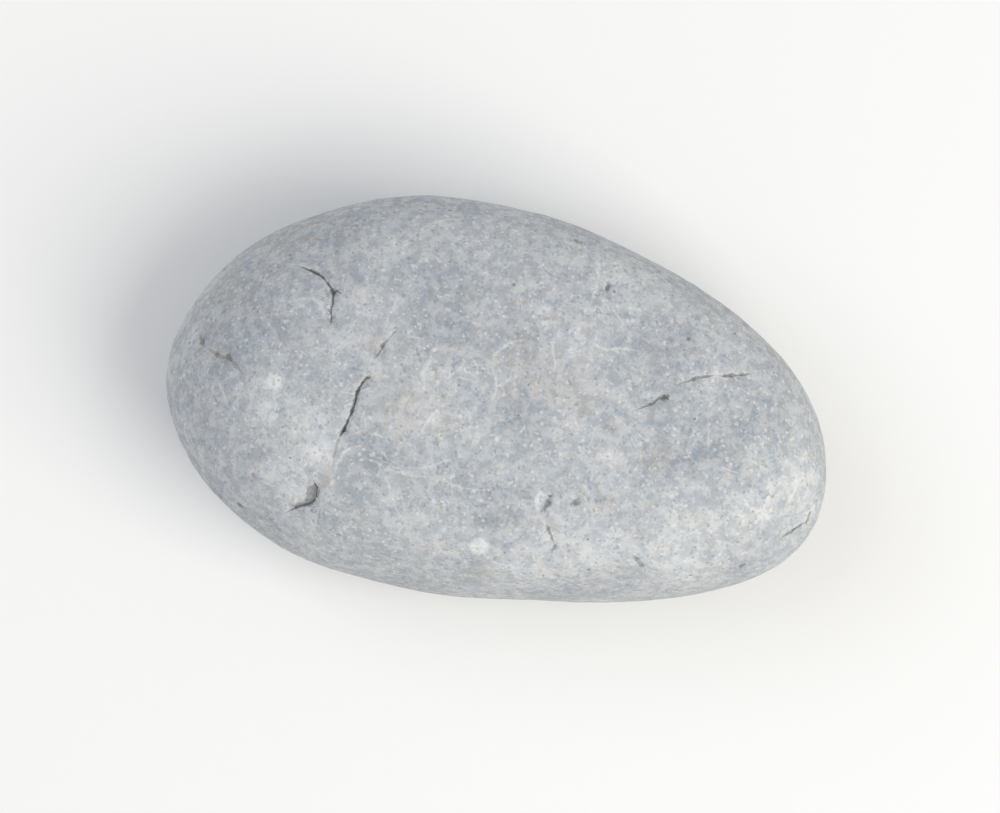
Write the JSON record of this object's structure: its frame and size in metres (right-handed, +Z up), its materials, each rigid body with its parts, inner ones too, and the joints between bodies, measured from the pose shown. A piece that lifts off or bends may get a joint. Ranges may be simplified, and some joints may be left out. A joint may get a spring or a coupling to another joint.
{
  "type": "river pebble",
  "caption": "Smooth flattened egg-shaped river stone, blue-grey and fine grained, with hairline cracks and small chips.",
  "frame": {"origin": "on the surface the stone rests on, under the middle of its length and width", "axes": "+X along the stone's length towards its narrow end, +Y across its width, +Z up through its thickness"},
  "size_m": [0.075, 0.0444, 0.028],
  "materials": {
    "greywacke": "water worn, dry and matte"
  },
  "bodies": {
    "root": {"pebble": "greywacke"}
  },
  "joints": []
}
